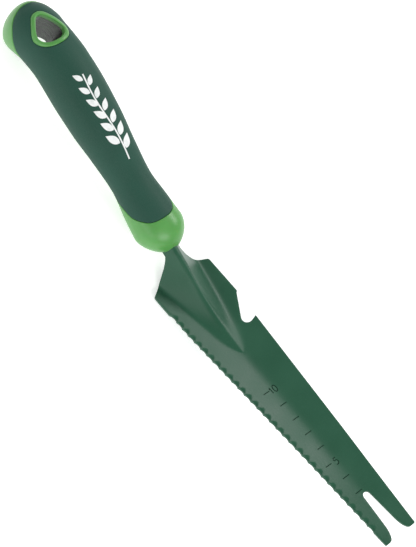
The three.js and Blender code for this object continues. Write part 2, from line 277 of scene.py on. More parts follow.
def triangulate(loops, cuts, extra, clearance):
    """Triangles inside loops[0] and outside the cuts, through the extra points that keep clear."""
    points = []
    edges = []
    starts = []
    for loop in loops + cuts:
        starts.append(len(points))
        edges += [(len(points) + i, len(points) + (i + 1) % len(loop)) for i in range(len(loop))]
        points += [Vector(p) for p in loop]
    cells = {}
    for p in points:
        cells.setdefault((int(p.x // clearance), int(p.y // clearance)), []).append(p)
    for p in extra:
        cx, cy = int(p[0] // clearance), int(p[1] // clearance)
        around = [q for i in (-1, 0, 1) for j in (-1, 0, 1) for q in cells.get((cx + i, cy + j), ())]
        if all(math.dist(p, q) > clearance for q in around):
            points.append(Vector(p))
    flat, _, faces, origins, _, _ = delaunay_2d_cdt(points, edges, [], 1, 1e-6)
    made = {source: i for i, sources in enumerate(origins) for source in sources}
    for cut in cuts:
        xs = [p[0] for p in cut]
        ys = [p[1] for p in cut]
        kept = []
        for face in faces:
            x = sum(flat[i].x for i in face) / 3
            y = sum(flat[i].y for i in face) / 3
            in_box = min(xs) < x < max(xs) and min(ys) < y < max(ys)
            if not (in_box and inside(cut, x, y)):
                kept.append(face)
        faces = kept
    rings = [[made[start + i] for i in range(len(loop))] for start, loop in zip(starts, loops + cuts)]
    return flat, faces, rings


def close_slivers(body):
    """Where three points of a seam fall in line: fills the hair-thin gap, or takes the fin away."""
    for vert in list(body.verts):
        rim = [e for e in vert.link_edges if len(e.link_faces) == 1]
        if len(rim) != 2:
            continue
        corners = [rim[0].other_vert(vert), vert, rim[1].other_vert(vert)]
        fin = body.faces.get(corners)
        if fin:
            bmesh.ops.delete(body, geom=[fin], context="FACES")
        elif body.edges.get((corners[0], corners[2])):
            body.faces.new(corners)


def piece(name, skin, material, replaces=None, sharp=40.0, weld=0.004):
    mesh = bpy.data.meshes.new(name)
    body = bmesh.new()
    made = [body.verts.new(TOOL_TO_PART @ p) for p in skin.points]
    for face in skin.faces:
        if len(set(face)) == len(face):
            try:
                body.faces.new([made[i] for i in face])
            except ValueError:
                continue
    bmesh.ops.remove_doubles(body, verts=body.verts, dist=weld * MM)
    bmesh.ops.delete(body, geom=[v for v in body.verts if not v.link_faces], context="VERTS")
    close_slivers(body)
    bmesh.ops.recalc_face_normals(body, faces=body.faces)
    body.to_mesh(mesh)
    body.free()
    mesh.shade_smooth()
    mesh.set_sharp_from_angle(angle=math.radians(sharp))
    mesh.materials.append(material)
    made = bpy.data.objects.new(name, mesh)
    bpy.context.scene.collection.objects.link(made)
    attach(made, "root")
    if replaces:
        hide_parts(replaces)
    return made


# ---------------------------------------------------------------- materials
class Surface:
    """A Principled material with small helpers for its noise layers."""

    def __init__(self, name, **values):
        self.material = bpy.data.materials.new(name)
        self.material.use_nodes = True
        self.nodes = self.material.node_tree.nodes
        self.links = self.material.node_tree.links
        self.shader = self.nodes["Principled BSDF"]
        for socket, value in values.items():
            self.shader.inputs[socket.replace("_", " ")].default_value = value
        self.place = self.nodes.new("ShaderNodeTexCoord").outputs["Object"]

    def noise(self, scale, detail=3.0, rough=0.5, stretch=None):
        place = self.place
        if stretch:
            mapping = self.nodes.new("ShaderNodeMapping")
            mapping.inputs["Scale"].default_value = stretch
            self.links.new(place, mapping.inputs["Vector"])
            place = mapping.outputs["Vector"]
        node = self.nodes.new("ShaderNodeTexNoise")
        node.inputs["Scale"].default_value = scale
        node.inputs["Detail"].default_value = detail
        node.inputs["Roughness"].default_value = rough
        self.links.new(place, node.inputs["Vector"])
        return node.outputs["Fac"]

    def ramp(self, value, stops):
        """A colour between two stops, each given as its place from 0 to 1 and its colour."""
        node = self.nodes.new("ShaderNodeValToRGB")
        low, high = node.color_ramp.elements
        low.position, low.color = stops[0]
        high.position, high.color = stops[1]
        self.links.new(value, node.inputs["Fac"])
        return node.outputs["Color"]

    def span(self, value, low, high, start=0.35, end=0.65):
        node = self.nodes.new("ShaderNodeMapRange")
        node.inputs["From Min"].default_value = start
        node.inputs["From Max"].default_value = end
        node.inputs["To Min"].default_value = low
        node.inputs["To Max"].default_value = high
        self.links.new(value, node.inputs["Value"])
        return node.outputs["Result"]

    def mix(self, factor, first, second):
        node = self.nodes.new("ShaderNodeMix")
        node.data_type = "RGBA"
        for socket, value in zip(("Factor", "A", "B"), (factor, first, second)):
            target = next(s for s in node.inputs if s.name == socket and s.enabled)
            if isinstance(value, (float, tuple)):
                target.default_value = value
            else:
                self.links.new(value, target)
        return next(s for s in node.outputs if s.enabled)

    def bump(self, height, distance, strength=1.0, under=None):
        node = self.nodes.new("ShaderNodeBump")
        node.inputs["Distance"].default_value = distance
        node.inputs["Strength"].default_value = strength
        self.links.new(height, node.inputs["Height"])
        if under:
            self.links.new(under, node.inputs["Normal"])
        return node.outputs["Normal"]

    def edge_wear_and_highlight(self):
        """Near 1 along raised edges, 0.5 on flat stretches: the mask for a painted highlight along raised
        edges, partly coat worn thin there.
        """
        return self.nodes.new("ShaderNodeNewGeometry").outputs["Pointiness"]

    def finish(self, color, roughness, normal):
        self.links.new(color, self.shader.inputs["Base Color"])
        self.links.new(roughness, self.shader.inputs["Roughness"])
        self.links.new(normal, self.shader.inputs["Normal"])
        return self.material


def powder_coat():
    s = Surface("green powder coat", Specular_IOR_Level=0.34)
    cloud = s.noise(45, 4.0)
    speck = s.noise(2600, 2.0)
    color = s.ramp(cloud, [(0.3, (0.015, 0.081, 0.043, 1)), (0.7, (0.019, 0.094, 0.051, 1))])
    color = s.mix(s.span(speck, 0.0, 0.35, 0.55, 0.75), color, (0.05, 0.13, 0.085, 1.0))
    # paler colour along raised edges: a painted highlight on the crest lines, partly coat worn thin at the
    # edges
    color = s.mix(s.span(s.edge_wear_and_highlight(), 0.0, 0.6, 0.525, 0.62), color, (0.09, 0.17, 0.125, 1.0))
    peel = s.noise(900, 3.0)
    normal = s.bump(peel, 0.00006, 0.55)
    normal = s.bump(speck, 0.00002, 0.5, normal)
    return s.finish(color, s.span(cloud, 0.33, 0.42), normal)


def green_plastic():
    s = Surface("light green polypropylene", Specular_IOR_Level=0.5, Subsurface_Weight=0.08,
                Subsurface_Scale=0.002)
    cloud = s.noise(70, 3.0)
    fine = s.noise(1500, 2.0)
    color = s.ramp(cloud, [(0.3, (0.084, 0.305, 0.064, 1)), (0.7, (0.102, 0.342, 0.080, 1))])
    normal = s.bump(fine, 0.00002, 0.35)
    normal = s.bump(s.noise(120, 2.0), 0.0002, 0.15, normal)
    return s.finish(color, s.span(cloud, 0.30, 0.40), normal)


def soft_rubber():
    s = Surface("dark green soft grip", Specular_IOR_Level=0.22, Sheen_Weight=0.03, Sheen_Roughness=0.5,
                Sheen_Tint=(0.55, 0.8, 0.7, 1.0))
    cloud = s.noise(38, 5.0, 0.55)
    fine = s.noise(2200, 3.0)
    color = s.ramp(cloud, [(0.3, (0.013, 0.064, 0.042, 1)), (0.7, (0.018, 0.078, 0.053, 1))])
    color = s.mix(s.span(fine, 0.0, 0.25), color, (0.05, 0.10, 0.08, 1.0))
    normal = s.bump(fine, 0.00005, 0.6)
    return s.finish(color, s.span(cloud, 0.52, 0.64), normal)


def white_ink():
    s = Surface("white print", Specular_IOR_Level=0.3)
    cloud = s.noise(400, 4.0)
    color = s.ramp(cloud, [(0.25, (0.70, 0.74, 0.72, 1)), (0.55, (0.86, 0.88, 0.87, 1))])
    return s.finish(color, s.span(cloud, 0.45, 0.6), s.bump(s.noise(1800, 2.0), 0.00003, 0.4))


def dark_stamp_floors():
    # near-black colour for the floors of the stamped strokes, darker than the coat round them
    s = Surface("darkened stamping", Specular_IOR_Level=0.2)
    cloud = s.noise(700, 3.0)
    color = s.ramp(cloud, [(0.3, (0.006, 0.022, 0.014, 1)), (0.7, (0.010, 0.034, 0.022, 1))])
    return s.finish(color, s.span(cloud, 0.6, 0.75), s.bump(cloud, 0.00003, 0.4))


def dull_steel():
    s = Surface("dull grey sleeve", Metallic=0.85)
    streak = s.noise(160, 4.0, 0.6, (1.0, 1.0, 5.0))
    color = s.ramp(streak, [(0.38, (0.010, 0.013, 0.012, 1)), (0.66, (0.10, 0.11, 0.10, 1))])
    return s.finish(color, s.span(streak, 0.22, 0.42), s.bump(streak, 0.0002, 0.5))


def pale_floor():
    s = Surface("pale floor", Specular_IOR_Level=0.0, Emission_Strength=0.48,
                Emission_Color=(1.0, 1.0, 1.0, 1.0))
    grain = s.noise(30, 2.0)
    color = s.ramp(grain, [(0.3, (0.93, 0.93, 0.93, 1)), (0.7, (0.94, 0.94, 0.94, 1))])
    return s.finish(color, s.span(grain, 0.85, 0.9), s.bump(grain, 0.00001, 0.1))


# ---------------------------------------------------------------- blade
crest_height = curve(CREST_HEIGHT)
crest_half = curve(CREST_HALF)
dish_slope = curve(DISH)


def rib_base(x):
    if x < RIB_NOSE_START:
        return RIB_BASE_HALF - RIB_BASE_TAPER * x
    run = clamp((x - RIB_NOSE_START) / (RIB_NOSE - RIB_NOSE_START))
    return (RIB_BASE_HALF - RIB_BASE_TAPER * RIB_NOSE_START) * (1 - run * run) ** RIB_NOSE_POINT


def soft_step(t, low, high, tail=2):
    """Clamps t to 0..1, its corners rounded over the half-widths low and high.

    A tail above 2 draws the low corner out.
    """
    if t <= low * (1 - tail):
        return 0.0
    if t < low:
        return low * ((t / low + tail - 1) / tail) ** tail
    if t < 1 - high:
        return t
    if t < 1 + high:
        return 1 - (1 + high - t) ** 2 / (4 * high)
    return 1.0


def blade_height(x, y, upper=True):
    """The sheet's middle. The crisp band along the crest is in the upper face alone."""
    dish = dish_slope(x) * (math.hypot(y, FOLD_RADIUS) - FOLD_RADIUS)
    if x >= RIB_NOSE:
        return dish
    base = rib_base(x)
    crest = min(crest_half(x), base / 2)
    width = max(base - crest, 0.01)
    y += CREST_LEAN * max(0.0, 1 - abs(y) / max(base, 0.1))
    foot, tail = SAW_SIDE_FOOT if y < 0 else NOTCH_SIDE_FOOT
    foot_round = min(FOOT_LIMIT, foot / width)
    round_over = CREST_ROUND + CREST_BLUNT * ease((x - BLUNT_START) / BLUNT_RUN)
    crest_round = min(CREST_LIMIT, (round_over if upper else 2 * CREST_ROUND) / width)
    rise = soft_step((base - abs(y)) / width, foot_round, crest_round, tail)
    rise -= FLANK_HOLLOW * math.sin(math.pi * rise)
    height = dish * (1 - rise) + crest_height(x) * rise
    if upper and x > BAND_START:
        band = soft_step((crest + BAND_WALL - abs(y)) / BAND_WALL, BAND_ROUND, BAND_ROUND)
        fade = ease((BAND_END - x) / BAND_FADE)
        height += BAND_HEIGHT * band * fade * ease((x - BAND_START) / BAND_RISE)
    return height


def blade_point(x, y, height, upper=None):
    """A point off the sheet's middle by height along its normal."""
    d = 0.2
    if upper is None:
        upper = height > 0
    slope_x = (blade_height(x + d, y, upper) - blade_height(x - d, y, upper)) / (2 * d)
    slope_y = (blade_height(x, y + d, upper) - blade_height(x, y - d, upper)) / (2 * d)
    normal = Vector((-slope_x, -slope_y, 1)).normalized()
    return Vector((x, y, blade_height(x, y, upper))) + normal * height


def edge_half(x):
    run = clamp((x - TAPER_START) / (TIP - TAPER_START))
    return BLADE_HALF - 0.5 + (TIP_HALF - BLADE_HALF + 0.5) * run


def flute(x, y):
    """Depth of the ground scoop behind each scallop of the saw edge."""
    tooth = (x - SAW_START) / SAW_PITCH
    if y > 0 or not 0 < tooth < SAW_COUNT:
        return 0.0
    inward = y + edge_half(x)
    off_middle = 2 * (tooth % 1) - 1
    return max(0.0, FLUTE_DEPTH * (1 - inward / FLUTE_REACH) - FLUTE_ROUND * off_middle ** 2)


def blade_outline():
    corner = 0.8
    loop = [(TANG_END, -TANG_HALF), (1, -NECK_HALF)]
    loop += bezier(loop[-1], (3.2, -NECK_HALF - 1), (5.2, -9.2), 5)
    loop += bezier(loop[-1], (8.6, -13.9), (SHOULDER - 0.6, -BLADE_HALF + 0.7), 4)
    loop += bezier(loop[-1], (SHOULDER, -BLADE_HALF), (SHOULDER + 1, -BLADE_HALF), 3)
    loop += [(SAW_START - 0.8, -BLADE_HALF), (SAW_START, -edge_half(SAW_START))]
    for i in range(SAW_COUNT):
        start = SAW_START + SAW_PITCH * i
        middle = start + SAW_PITCH / 2
        end = (start + SAW_PITCH, -edge_half(start + SAW_PITCH))
        loop += bezier(loop[-1], (middle, -edge_half(middle) + 2 * SAW_DEPTH), end, 9)
    loop += [(TIP - corner, -TIP_HALF)]
    loop += bezier(loop[-1], (TIP, -TIP_HALF), (TIP, -TIP_HALF + corner), 4)
    loop += [(TIP, -FORK_TIP_HALF - 2 * corner)]
    loop += bezier(loop[-1], (TIP - 0.1, -FORK_TIP_HALF - 0.1), (TIP - 1.7, -FORK_TIP_HALF + 0.7), 6)
    loop += bezier(loop[-1], (186.5, -FORK_FLARE_HALF - 0.55), (FORK_FLARE_START, -FORK_FLARE_HALF), 5)
    loop += arc((FORK_ROOT + FORK_ROOT_HALF, 0), FORK_ROOT_HALF, -90, -270, 14)
    loop += [(FORK_FLARE_START, FORK_FLARE_HALF)]
    loop += bezier(loop[-1], (186.5, FORK_FLARE_HALF + 0.55), (TIP - 1.7, FORK_TIP_HALF - 0.7), 5)
    loop += bezier(loop[-1], (TIP - 0.1, FORK_TIP_HALF + 0.1), (TIP, FORK_TIP_HALF + 2 * corner), 6)
    loop += [(TIP, TIP_HALF - corner)]
    loop += bezier(loop[-1], (TIP, TIP_HALF), (TIP - corner, TIP_HALF), 4)
    loop += [(HOOK_TIP, edge_half(HOOK_TIP))]
    loop += arc(NOTCH_CENTRE, NOTCH_RADIUS, 12, -122, 16)
    loop += [(NOTCH_START + 0.4, BLADE_HALF - 0.9)]
    loop += bezier(loop[-1], (NOTCH_START, BLADE_HALF), (NOTCH_START - 0.9, BLADE_HALF), 3)
    loop += [(SHOULDER - 0.6, BLADE_HALF)]
    loop += bezier(loop[-1], (SHOULDER - 1.5, BLADE_HALF), (SHOULDER - 2.0, BLADE_HALF - 0.8), 3)
    loop += bezier(loop[-1], (7.8, 13.6), (5.2, 9.2), 4)
    loop += bezier(loop[-1], (3.2, NECK_HALF + 1), (1, NECK_HALF), 5)
    loop += [(TANG_END, TANG_HALF)]
    return dense(loop, 1.2)


def digit(shape, x, y):
    """A digit's stroke, its top towards the handle and its left side towards the saw."""
    if shape == "1":
        line = [(0.7, -0.75), (1.9, 0.0), (-1.9, 0.0)]
    elif shape == "5":
        line = [(1.9, 0.95), (1.9, -0.75), (0.35, -0.85)]
        line += bezier(line[-1], (0.75, 0.35), (0.3, 0.75), 4)
        line += bezier(line[-1], (-0.6, 1.45), (-1.45, 0.75), 5)
        line += bezier(line[-1], (-2.1, 0.2), (-1.75, -0.95), 4)
    else:
        line = [(1.95 * math.cos(v), 1.1 * math.sin(v)) for v in spread(0, 2 * math.pi, 24)[:-1]]
    return [(x - up, y + right) for up, right in line]


def stamps():
    """Every stamped stroke as (line, half-width, closed)."""
    strokes = []
    for i in range(TICK_COUNT):
        x = TEN_AT + TICK_PITCH * i
        ends = LONG_TICK if i in (0, 5) else SHORT_TICK
        strokes.append(([(x, ends[0]), (x, ends[1])], TICK_WIDTH / 2, False))
    strokes.append((digit("1", TEN_AT + 0.4, -2.7), DIGIT_WIDTH / 2, False))
    strokes.append((digit("0", TEN_AT + 0.4, -0.1), DIGIT_WIDTH / 2, True))
    strokes.append((digit("5", TEN_AT + 5 * TICK_PITCH + 0.4, -0.8), DIGIT_WIDTH / 2, False))
    return strokes


STROKES = stamps()


def stroke_loops(line, half, closed):
    line = dense(line, 0.5, closed)
    if closed:
        return [shifted(line, half, True), shifted(line, -half, True)[::-1]]
    return [shifted(line, half, False)[::-1] + shifted(line, -half, False)]


def distance_to(line, closed, x, y):
    best = 1e9
    ends = line[1:] + line[:1] if closed else line[1:]
    for (x0, y0), (x1, y1) in zip(line, ends):
        run = (x1 - x0) ** 2 + (y1 - y0) ** 2
        t = clamp(((x - x0) * (x1 - x0) + (y - y0) * (y1 - y0)) / run)
        best = min(best, math.hypot(x - x0 - t * (x1 - x0), y - y0 - t * (y1 - y0)))
    return best


def stamp(x, y):
    """How far the surface is stamped down here."""
    depth = 0.0
    for line, half, closed in STROKES:
        if abs(x - line[0][0]) < 6 and abs(y - line[0][1]) < 8:
            off = distance_to(line, closed, x, y)
            depth = max(depth, STAMP_DEPTH * clamp((half - off) / STAMP_WALL))
    return depth


def blade_grid():
    """Points through the sheet: rows across it follow the rib's crest and foot."""
    points = []
    for x in spread(TANG_END + 1, RIB_NOSE, 150):
        base = rib_base(x)
        crest = min(crest_half(x), base / 2)
        columns = [0.5 * crest] + [crest + off for off in (-0.2, 0, 0.15, 0.3, 0.45, 0.6, 0.8, 1.2)]
        columns += [y for y in spread(crest + 1.8, base - 1.6, 7) if crest + 1.4 < y < base - 0.9]
        columns += [base + off for off in (-1.4, -0.7, 0, 0.7, 1.4, 2.3, 3.4, 5.0, 7.0, 9.0, 11.5, 14.0)]
        columns = [0] + [y * side for y in columns if 0.2 < y < BLADE_HALF for side in (-1, 1)]
        points += [(x, y - CREST_LEAN * max(0.0, 1 - abs(y) / max(base, 0.1))) for y in columns]
    for i, x in enumerate(spread(RIB_NOSE + 0.7, TIP, 92)):
        shift = 0.65 * (i % 2)
        points += [(x, y + shift) for y in spread(-BLADE_HALF, BLADE_HALF, 30)]
    return points


def flute_grid():
    points = []
    for i in range(SAW_COUNT * 8):
        x = SAW_START + SAW_PITCH * (i + 0.5) / 8
        points += [(x, -edge_half(x) + inward) for inward in (1.0, 1.45, 1.95, 2.5, 3.2)]
    return points


def add_rim(skin, outline, top_ring, low_ring):
    """The rounded edge from the top face round to the underside."""
    rings = [top_ring]
    for inset, drop in RIM[1:]:
        loop = shifted(outline, inset)
        half = [THICKNESS / 2 - flute(x, y) for x, y in loop]
        rings.append(skin.add([blade_point(x, y, h - drop) for (x, y), h in zip(loop, half)]))
    for inset, drop in RIM[:0:-1]:
        loop = shifted(outline, inset)
        rings.append(skin.add([blade_point(x, y, drop - THICKNESS / 2) for x, y in loop]))
    rings.append(low_ring)
    for ring, other in zip(rings, rings[1:]):
        skin.bridge(ring, other)


def make_blade(material, dark_floor):
    outline = blade_outline()
    face = shifted(outline, RIM[0][0])
    grid = flute_grid() + blade_grid()
    marks = []
    for line, half, closed in STROKES:
        marks += stroke_loops(line, half, closed)
        marks += stroke_loops(line if closed else shortened(line), half - STAMP_WALL, closed)
    skin = Skin()
    flat, faces, rings = triangulate([face] + marks, [], grid, clearance=0.34)
    sunk = [stamp(p.x, p.y) for p in flat]
    top = skin.add([
        blade_point(p.x, p.y, THICKNESS / 2 - flute(p.x, p.y) - depth) for p, depth in zip(flat, sunk)
    ])
    skin.faces += [tuple(top[i] for i in f) for f in faces]
    under_flat, under_faces, under_rings = triangulate([face], [], grid, clearance=0.6)
    under = skin.add([blade_point(p.x, p.y, -THICKNESS / 2) for p in under_flat])
    skin.faces += [tuple(under[i] for i in f[::-1]) for f in under_faces]
    add_rim(skin, outline, [top[i] for i in rings[0]], [under[i] for i in under_rings[0]])
    piece("pressed_blade", skin, material, "blade", 50)

    floor = [f for f in faces if min(sunk[i] for i in f) > 0.9 * STAMP_DEPTH]
    make_graduations(flat, floor, dark_floor)


def shortened(line):
    """The stroke with both ends drawn in by the stamp's sloping wall."""
    points = [Vector(p) for p in line]
    points[0] += (points[1] - points[0]).normalized() * STAMP_WALL
    points[-1] += (points[-2] - points[-1]).normalized() * STAMP_WALL
    return [tuple(p) for p in points]


def make_graduations(flat, faces, dark_floor):
    """Thin dark plates on the floors of the stamped strokes."""
    skin = Skin()
    used = sorted({i for f in faces for i in f})
    floor = THICKNESS / 2 - STAMP_DEPTH
    top = dict(zip(used, skin.add([blade_point(*flat[i], floor + 0.03) for i in used])))
    low = dict(zip(used, skin.add([blade_point(*flat[i], floor - 0.02) for i in used])))
    close_plate(skin, faces, top, low)
    piece("graduations", skin, dark_floor, None, 50, 0.001)


def close_plate(skin, faces, top, low):
    """Both sides of a plate and the wall round its free edges."""
    seen = {}
    for f in faces:
        skin.faces.append(tuple(top[i] for i in f))
        skin.faces.append(tuple(low[i] for i in f[::-1]))
        for i, j in zip(f, f[1:] + f[:1]):
            seen[(i, j)] = True
    for i, j in seen:
        if (j, i) not in seen:
            skin.faces.append((top[j], top[i], low[i], low[j]))


# ---------------------------------------------------------------- handle form
half_width = curve(HALF_WIDTH)
axis_sag = curve(AXIS_SAG)
height_ratio = curve(HEIGHT_RATIO)
parting_height = curve(PARTING)


def handle_half(a):
    if a < NOSE_DOME:
        run = (NOSE_DOME - a) / NOSE_DOME
        return HALF_WIDTH[0][1] * max(0.0, 1 - run ** NOSE_SHARPNESS) ** (1 / NOSE_SHARPNESS)
    if a <= BUTT_START:
        return half_width(a)
    run = (a - BUTT_START) / (HANDLE_LENGTH - BUTT_START)
    return HALF_WIDTH[-1][1] * math.sqrt(max(0.0, 1 - run * run))


def handle_to_tool(a, b, y):
    sin, cos = math.sin(HANDLE_RISE), math.cos(HANDLE_RISE)
    return Vector((b * sin - a * cos, y, NOSE_Z + a * sin + b * cos))


def handle_surface(a, angle):
    """Point at angle from the top, and the outward normal, in the handle frame (a, b, y)."""
    def fill(a, b, y):
        w = max(handle_half(a), 1e-3)
        return abs(y / w) ** ROUNDNESS + abs((b - axis_sag(a)) / (w * height_ratio(a))) ** ROUNDNESS

    w = handle_half(a)
    up, across = math.cos(angle), math.sin(angle)
    power = 2 / ROUNDNESS
    b = axis_sag(a) + w * height_ratio(a) * math.copysign(abs(up) ** power, up)
    y = w * math.copysign(abs(across) ** power, across)
    d = min(0.05, (HANDLE_LENGTH - a) / 2)
    normal = Vector((
        (fill(a + d, b, y) - fill(a - d, b, y)) / (2 * d),
        (fill(a, b + d, y) - fill(a, b - d, y)) / (2 * d),
        (fill(a, b, y + d) - fill(a, b, y - d)) / (2 * d),
    )).normalized()
    return Vector((a, b, y)), normal


def make_stations():
    """Matches distance along the skin from the nose with a, both ways."""
    front = [NOSE_CUT + (NOSE_DOME - NOSE_CUT) * (1 - math.cos(v)) for v in spread(0, math.pi / 2, 60)]
    middle = spread(NOSE_DOME, BUTT_START, 120)[1:]
    dome = HANDLE_LENGTH - BUTT_START
    back = [BUTT_START + dome * math.sin(v) for v in spread(0, BUTT_SWEEP, 60)[1:]]
    stations = front + middle + back
    length = [0.0]
    for a, c in zip(stations, stations[1:]):
        length.append(length[-1] + math.hypot(c - a, handle_half(c) - handle_half(a)))
    return stations, length


STATIONS, LENGTHS = make_stations()


def lookup(value, known, wanted):
    low, high = 0, len(known) - 1
    while high - low > 1:
        middle = (low + high) // 2
        low, high = (middle, high) if known[middle] <= value else (low, middle)
    t = clamp((value - known[low]) / (known[high] - known[low]))
    return wanted[low] + (wanted[high] - wanted[low]) * t


def flat_pattern(a, angle):
    return lookup(a, STATIONS, LENGTHS), AROUND * angle


def off_surface(x, y, depth=0.0, outward=0.0, direction=None):
    """Tool-frame point under the pattern point (x, y), sunk by depth and slid along direction."""
    point, normal = handle_surface(lookup(x, LENGTHS, STATIONS), y / AROUND)
    point = point - normal * depth
    if direction:
        point += direction * outward
    return handle_to_tool(*point)


def top_height(a, y, side=1):
    w = handle_half(a)
    rise = max(0.0, 1 - (abs(y) / w) ** ROUNDNESS) ** (1 / ROUNDNESS)
    return axis_sag(a) + side * w * height_ratio(a) * rise


def side_angle(a, b):
    """Angle from the top at which the section at a crosses height b."""
    reach = (b - axis_sag(a)) / (handle_half(a) * height_ratio(a))
    return math.acos(math.copysign(min(1.0, abs(reach)) ** (ROUNDNESS / 2), reach))


def over_top(a):
    return parting_height(a) - top_height(a, 0)


def crossing(low, high):
    """Where the parting curve meets the handle's top line."""
    rising = over_top(high) > 0
    for _ in range(40):
        middle = (low + high) / 2
        low, high = (middle, high) if (over_top(middle) > 0) != rising else (low, middle)
    return (low + high) / 2


def even(line, step):
    """The open line with evenly spaced points."""
    lengths = [0.0]
    for p, q in zip(line, line[1:]):
        lengths.append(lengths[-1] + math.dist(p, q))
    count = round(lengths[-1] / step)
    return [tuple(lookup(s, lengths, [p[k] for p in line]) for k in (0, 1))
            for s in spread(0, lengths[-1], count)]


def make_grip_loop():
    """The soft grip's edge on the flat pattern: front middle, round by +y to the back, and home."""
    front, back = crossing(17.0, 20.0), crossing(148.0, HANDLE_LENGTH - 0.02)
    runs = [front + (back - front) * (1 - math.cos(v)) / 2 for v in spread(0, math.pi, 900)]
    half = [flat_pattern(a, side_angle(a, parting_height(a))) for a in runs]
    half[0] = (half[0][0], 0.0)
    half[-1] = (half[-1][0], 0.0)
    half = even(half, EDGE_STEP)
    return half, [(x, -y) for x, y in half[-2:0:-1]]


NEAR_SIDE, FAR_SIDE = make_grip_loop()
GRIP_LOOP = NEAR_SIDE + FAR_SIDE


def edge_directions():
    """At each point of the grip's edge, the way out of the grip along the skin."""
    places = [handle_surface(lookup(x, LENGTHS, STATIONS), y / AROUND) for x, y in GRIP_LOOP]
    count = len(places)
    result = []
    for i, (point, normal) in enumerate(places):
        along = places[(i + 1) % count][0] - places[i - 1][0]
        result.append(normal.cross(along).normalized())
    middle = Vector((80, 0, 0))  # well inside the handle
    outward = result[0].dot(places[0][0] - middle)
    return [v if outward > 0 else -v for v in result]


EDGE_OUT = edge_directions()


def hang_shape(grow):
    """The hang hole's rounded triangle as (a, y), its point towards the butt."""
    radius = HANG_APEX_RADIUS + grow
    apex = (HANG_APEX - HANG_APEX_RADIUS, 0)
    half = HANG_HALF + grow
    base = HANG_BASE - grow
    points = arc(apex, radius, -HANG_APEX_TURN, HANG_APEX_TURN, 12)
    points += bezier(points[-1], (HANG_CORNER + HANG_CORNER_REACH, half), (HANG_CORNER, half), 12)
    points += bezier(points[-1], (base + 0.4, half - 0.6), (base, HANG_BASE_HALF), 12)
    points += [(base, 0.0), (base, -HANG_BASE_HALF)]
    points += bezier(points[-1], (base + 0.4, 0.6 - half), (HANG_CORNER, -half), 12)
    points += bezier(points[-1], (HANG_CORNER + HANG_CORNER_REACH, -half), points[0], 12)[:-1]
    return points


def hang_ring(grow, depth, side=1):
    """The hole's outline grown by grow, at depth under the top or, with side -1, the underside."""
    return [handle_to_tool(a, top_height(a, y, side) - side * depth, y) for a, y in hang_shape(grow)]


def hang_pattern(grow, side=1):
    loop = []
    for a, y in hang_shape(grow):
        angle = math.asin(math.copysign((abs(y) / handle_half(a)) ** (ROUNDNESS / 2), y))
        loop.append(flat_pattern(a, angle if side > 0 else math.pi - angle))
    return loop


def pattern_grid(low_angle, high_angle, step):
    points = []
    rows = round(LENGTHS[-1] / step)
    for i, x in enumerate(spread(0, LENGTHS[-1], rows)[1:-1]):
        shift = step / 2 * (i % 2)
        count = round((high_angle - low_angle) * AROUND / step)
        points += [(x, y + shift) for y in spread(low_angle * AROUND, high_angle * AROUND, count)]
    return points


def add_edge(skin, ring, profile):
    """Strips along the grip's edge; profile gives (outward, depth) after the ring's own."""
    for outward, depth in profile:
        following = skin.add([
            off_surface(x, y, depth, outward, way) for (x, y), way in zip(GRIP_LOOP, EDGE_OUT)
        ])
        skin.bridge(ring, following)
        ring = following
    return ring


def in_grip(points):
    """The grid points that lie inside the grip's edge on the flat pattern."""
    xs = [x for x, _ in NEAR_SIDE]
    ys = [y for _, y in NEAR_SIDE]
    return [p for p in points if xs[0] < p[0] < xs[-1] and abs(p[1]) < lookup(p[0], xs, ys)]


def add_grip_face(skin, depth, edge_outward, hole_grow, step):
    """One side of the grip's region at a depth, and its outer and hole rings."""
    grid = in_grip(pattern_grid(-math.pi, math.pi, step))
    flat, faces, rings = triangulate([GRIP_LOOP], [hang_pattern(hole_grow)], grid, clearance=0.7)
    points = [off_surface(p.x, p.y, depth) for p in flat]
    for i, (x, y), way in zip(rings[0], GRIP_LOOP, EDGE_OUT):
        points[i] = off_surface(x, y, depth, edge_outward, way)
    for i, point in zip(rings[1], hang_ring(hole_grow, depth)):
        points[i] = point
    made = skin.add(points)
    skin.faces += [tuple(made[i] for i in f) for f in faces]
    return [made[i] for i in rings[0]], [made[i] for i in rings[1]]


def make_grip(material):
    skin = Skin()
    hole = LIP_WIDTH + 0.12
    outer, outer_hole = add_grip_face(skin, 0.0, -0.75, hole + 0.45, 1.3)
    low, low_hole = add_grip_face(skin, GRIP_THICKNESS, -0.15, hole, 2.2)
    ring = add_edge(skin, outer, [(-0.42, 0.06), (-0.22, 0.22), (-0.15, 0.5)])
    skin.bridge(ring, low)
    ring = outer_hole
    for grow, depth in ((hole + 0.2, 0.05), (hole + 0.05, 0.18), (hole, 0.45)):
        following = skin.add(hang_ring(grow, depth))
        skin.bridge(ring, following)
        ring = following
    skin.bridge(ring, low_hole)
    piece("grip_sleeve", skin, material, "soft_grip")


def shell_pattern():
    """The bare part of the core laid flat with its underside in the middle, cut along the top."""
    turn = 2 * math.pi * AROUND
    front, back = NEAR_SIDE[0][0], NEAR_SIDE[-1][0]
    end = LENGTHS[-1]
    loop = [(x, 0.0) for x in spread(0, front, SHELL_LEAD)[:-1]] + NEAR_SIDE
    loop += [(x, 0.0) for x in spread(back, end, 3)[1:]]
    loop += [(end, y) for y in spread(0, turn, 48)[1:-1]]
    loop += [(x, turn) for x in spread(end, back, 3)[:-1]]
    loop += [(x, turn - y) for x, y in NEAR_SIDE[::-1]]
    loop += [(x, turn) for x in spread(front, 0, SHELL_LEAD)[1:]]
    loop += [(0.0, y) for y in spread(turn, 0, 48)[1:-1]]
    return loop


